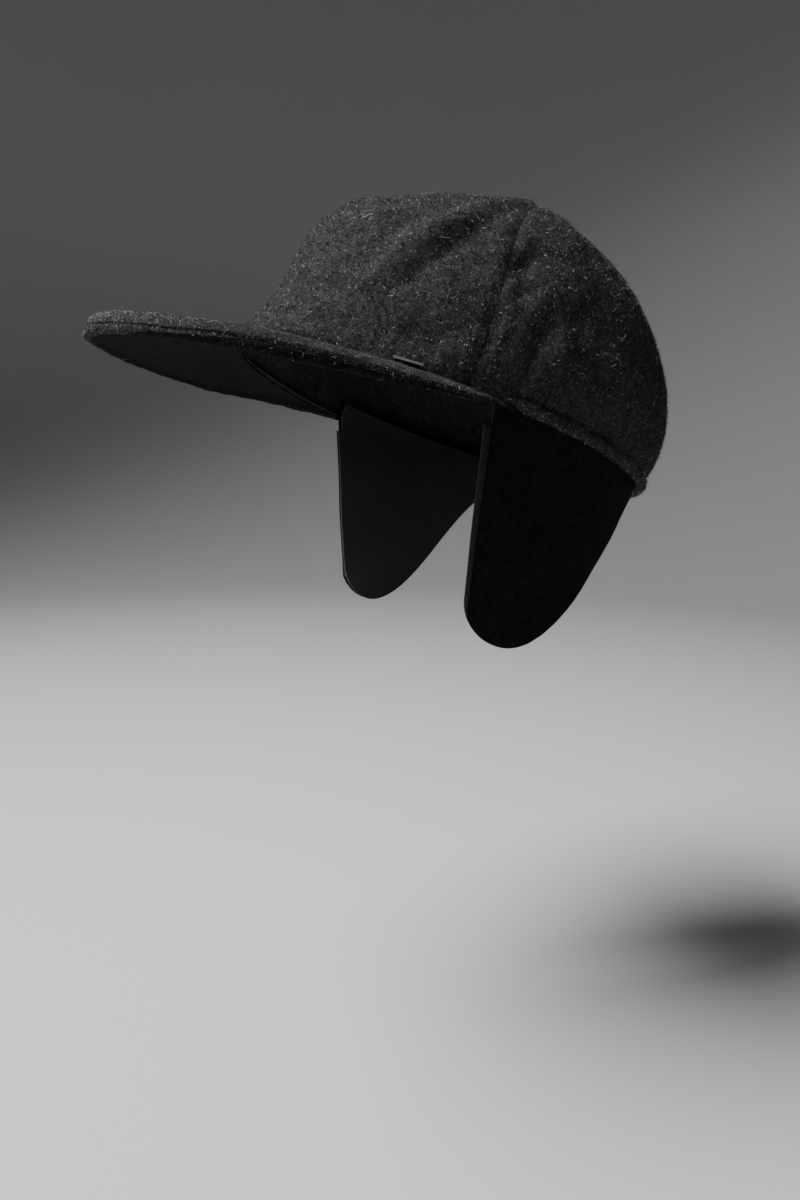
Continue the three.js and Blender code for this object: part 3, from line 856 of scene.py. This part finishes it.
# Rolled hem
hem_turn = np.linspace(HEM_FROM, 360 - HEM_FROM, HEM_COLUMNS + 1)
hem_round = np.linspace(0, 2 * math.pi, HEM_ROUND + 1)[:-1]
hem_rim = smooth_crown(hem_turn, 0 * hem_turn)
hem_rim[:, 2] = 0
hem_out = hem_rim / np.linalg.norm(hem_rim, axis=1, keepdims=True)
from_end = np.minimum(hem_turn - HEM_FROM, 360 - HEM_FROM - hem_turn)
taper = HEM_END_SHARE + (1 - HEM_END_SHARE) * smooth_step(from_end / HEM_END_SPAN)
ring_x = (HEM_HALF_WIDTH * taper)[:, None] * np.cos(hem_round)[None, :] - HEM_INSET
ring_z = (HEM_HALF_HEIGHT * taper)[:, None] * np.sin(hem_round)[None, :] + HEM_MIDDLE
hem = hem_rim[:, None] + hem_out[:, None] * ring_x[..., None]
hem[..., 2] = ring_z
swell = unevenness(hem, HEM_UNEVENNESS)
from_core = hem - (hem_rim - hem_out * HEM_INSET + [0, 0, HEM_MIDDLE])[:, None]
hem += from_core / np.linalg.norm(from_core, axis=-1, keepdims=True) * swell[..., None]
hem = worn(hem)
at = np.arange(hem.shape[0] * hem.shape[1]).reshape(hem.shape[:2])
wrapped = np.concatenate([at, at[:, :1]], 1)
hem_faces = grid_faces(wrapped) + [at[0].tolist(), at[-1][::-1].tolist()]
hem_roll = make_piece(
    "crown_hem_roll", hem.reshape(-1, 3), hem_faces, charcoal_wool, "crown_wool", "crown_hem"
)
point_outward(hem_roll)
hem_closed = np.concatenate([hem, hem[:, :1]], 1)[:, ::-1]
nap("crown_hem_nap", hem_closed, HEM_HAIRS, 51, edge_hair, "crown_wool")

# Peak: darker wool, as painted shade, lies on its lower cover, but for the rolled edge by the tip,
# and low on its upper cover's edge towards the ends; pale hairs on the tip are a painted highlight
SHORT_HAIR = (0.5, 1.4)
LONG_HAIR = (0.8, 2.4)
PEAK_NAPS = {
    # name, zone, hairs, seed, finish, length
    "peak_top": [
        ("low_nap", "low", 4200, 72, edge_hair, LONG_HAIR),
        ("low_painted_shade_nap", "low", 4000, 73, painted_shade_hair, LONG_HAIR),
        ("edge_nap", "rolled", 10000, 68, edge_hair, LONG_HAIR),
        ("nap", "flat", 13500, 61, charcoal_hair, LONG_HAIR),
        ("tip_painted_highlight_nap", "tip", 6000, 70, painted_highlight_hair, SHORT_HAIR),
    ],
    "peak_under": [
        ("low_nap", "low", 2200, 73, edge_hair, LONG_HAIR),
        ("low_painted_shade_nap", "low", 4000, 74, painted_shade_hair, LONG_HAIR),
        ("edge_nap", "rolled", 4500, 62, edge_hair, LONG_HAIR),
        ("tip_painted_highlight_nap", "tip", 1500, 71, painted_highlight_hair, SHORT_HAIR),
        ("nap", "flat", 6000, 67, painted_shade_hair, LONG_HAIR),
    ],
}
for side, node in ((1, "peak_top"), (-1, "peak_under")):
    layers, left, turns = peak_layers(side)
    outside, inside = (worn(layer) for layer in layers)
    cover = make_piece(f"{node}_cover", *closed_sheet(outside, inside, 2), charcoal_wool, "crown_wool", node)
    zones, dark = peak_zones(side, left, turns)
    # painted shade: darker wool on the faces where shade falls under and along the peak's edge
    cover.data.materials.append(painted_shade_wool)
    finishes = np.zeros(len(cover.data.polygons), int)
    finishes[: dark.size] = dark.ravel()
    cover.data.polygons.foreach_set("material_index", finishes)
    hairs = []
    for name, zone, count, seed, finish, length in PEAK_NAPS[node]:
        shares = zones[zone][:, ::side]
        hairs.append(nap(
            f"{node}_{name}", outside[:, ::side], count, seed, finish, "crown_wool", length, shares=shares
        ))
    point_outward(cover)

# Ear flaps
down = np.linspace(0, 1, FLAP_ROWS)
strip = STRIP_TOP + (STRIP_LOW - STRIP_TOP) * down[:, None]
past_strip = FLAP_BACK - FLAP_FRONT - strip
spread = np.linspace(0, 1, FLAP_COLUMNS)[None, :] ** FLAP_SPREAD
azimuths = FLAP_FRONT + strip + past_strip * spread
bevelled = azimuths + FLAP_BEVEL * (1 - spread) ** 12

# Linings of the ear flaps, each with a strip that shows in front and is notched at the top
lining_spread = np.linspace(0, 1, LINING_COLUMNS)[None, :] ** FLAP_SPREAD
across = np.linspace(0, 1, STRIP_COLUMNS)[None, :]
notched = (1 - smooth_step((down - NOTCH_END) / NOTCH_CORNER))[:, None]
notch = NOTCH_SHARE * strip * notched
strip_turns = FLAP_FRONT + notch + (strip * STRIP_SHARE - notch) * across
lining_turns = np.concatenate([strip_turns, FLAP_FRONT + strip + past_strip * lining_spread], 1)
behind = FLAP_INSET + FLAP_OUTER + FLAP_GAP
strip_inset = STRIP_INSET + STRIP_ROUND * (1 - across) ** 1.5 + STRIP_RETURN * across**8
strip_inset = strip_inset + (behind - strip_inset) * notched
face_inset = np.concatenate([strip_inset, np.full((FLAP_ROWS, LINING_COLUMNS), behind)], 1)

for hand, side in (("left", 1), ("right", -1)):
    mirror = np.array([side, 1, 1])
    large = (0.5, 40, 71 + side)
    face, back = flap_layers(
        (azimuths, bevelled), (FLAP_INSET, FLAP_INSET + FLAP_OUTER), 0, [large, (0.12, 5, 73)], mirror
    )
    cloth = make_piece(
        f"ear_flap_{hand}_cloth", *closed_sheet(face, back, 2),
        black_wool, "flap_wool", f"ear_flap_{hand}",
    )
    point_outward(cloth)
    facing = face[:, ::side]
    hair = nap(
        f"ear_flap_{hand}_nap", facing, FLAP_HAIRS, 75 + side, black_hair, "flap_wool", (0.8, 2.0), 0.22, 0.1
    )
    lint = nap(
        f"ear_flap_{hand}_lint", facing, FLAP_LINT, 85 + side, pale_hair, "flap_wool", (0.4, 1.3), 0.2, 0.09
    )
    face, back = flap_layers(
        (lining_turns, lining_turns), (face_inset, behind + FLAP_LINING), 1, [large], mirror
    )
    lining = make_piece(
        f"ear_flap_{hand}_lining", *closed_sheet(face, back, 1),
        twill, "flap_twill", f"ear_flap_lining_{hand}",
    )
    point_outward(lining)

# Metal tab: its CAD body with a finer finish
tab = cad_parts["tab"]
tab.data.materials.clear()
tab.data.materials.append(tab_metal)

# Camera at the photo's viewing angle
VIEW_TURN = math.radians(61.95)
VIEW_DOWN = math.radians(10.02)
VIEW_ROLL = math.radians(1.15)
VIEW_BACK = 0.4288
VIEW_RIGHT = -0.02427
VIEW_UP = -0.01435
LENS = 24.15
FILM_WIDTH = 36
back = Vector((math.sin(VIEW_TURN), -math.cos(VIEW_TURN), 0))
level_right = Vector((math.cos(VIEW_TURN), math.sin(VIEW_TURN), 0))
up = Vector((0, 0, 1))
forward = -back * math.cos(VIEW_DOWN) - up * math.sin(VIEW_DOWN)
level_up = -back * math.sin(VIEW_DOWN) + up * math.cos(VIEW_DOWN)
right = level_right * math.cos(VIEW_ROLL) + level_up * math.sin(VIEW_ROLL)
upward = level_up * math.cos(VIEW_ROLL) - level_right * math.sin(VIEW_ROLL)
lens = bpy.data.cameras.new("camera")
lens.sensor_width = FILM_WIDTH
lens.lens = LENS
lens.clip_start = 0.01
lens.clip_end = 50
camera = bpy.data.objects.new("camera", lens)
turned = Matrix((right, upward, -forward)).transposed().to_4x4()
place = back * VIEW_BACK + level_right * VIEW_RIGHT + up * VIEW_UP
camera.matrix_world = Matrix.Translation(place) @ turned
bpy.context.scene.collection.objects.link(camera)
bpy.context.scene.camera = camera

# Floor that curves up into a plain backdrop all round
FLOOR_Z = -0.33
FLOOR_REACH = 1.5
SWEEP = 1.1
BACKDROP_TOP = 3.2
FLOOR_MIDDLE = 0.02
FLOOR_ROUND = 96
bend = np.linspace(0, math.pi / 2, 25)
reach = np.concatenate([[FLOOR_MIDDLE], FLOOR_REACH + SWEEP * np.sin(bend), [FLOOR_REACH + SWEEP]])
rise = FLOOR_Z + np.concatenate([[0], SWEEP * (1 - np.cos(bend)), [BACKDROP_TOP]])
around = np.linspace(0, 2 * math.pi, FLOOR_ROUND + 1)[:-1]
sweep = np.stack([
    reach[:, None] * np.cos(around),
    reach[:, None] * np.sin(around),
    np.repeat(rise[:, None], FLOOR_ROUND, 1),
], -1)
places = np.arange(len(rise) * FLOOR_ROUND).reshape(-1, FLOOR_ROUND)
rings = np.concatenate([places, places[:, :1]], 1)
paper = bpy.data.meshes.new("floor")
paper.from_pydata(sweep.reshape(-1, 3).tolist(), [], [places[0].tolist()] + grid_faces(rings[:, ::-1]))
paper.polygons.foreach_set("use_smooth", [True] * len(paper.polygons))
paper.materials.append(plain_paper("pale_floor", (0.54, 0.54, 0.535, 1)))
floor = bpy.data.objects.new("floor", paper)
bpy.context.scene.collection.objects.link(floor)


# Soft studio light
LAMP_SPREAD = math.radians(115)


def soft_light(name, place, aim, size, power):
    lamp = bpy.data.lights.new(name, "AREA")
    lamp.shape = "RECTANGLE"
    lamp.size, lamp.size_y = size
    lamp.energy = power
    lamp.spread = LAMP_SPREAD
    holder = bpy.data.objects.new(name, lamp)
    holder.location = place
    holder.visible_camera = False
    holder.rotation_euler = (Vector(aim) - Vector(place)).to_track_quat("-Z", "Y").to_euler()
    bpy.context.scene.collection.objects.link(holder)


soft_light("key", (-0.2, -0.94, 1.38), (0, 0, 0.03), (0.8, 0.8), 34)
soft_light("fill", (0.9, 0.9, 1.1), (0, 0, 0), (1.2, 1.2), 0.15)
world = bpy.data.worlds.new("studio")
world.use_nodes = True
world.node_tree.nodes["Background"].inputs["Color"].default_value = (0.62, 0.63, 0.65, 1)
world.node_tree.nodes["Background"].inputs["Strength"].default_value = 0.085
bpy.context.scene.world = world
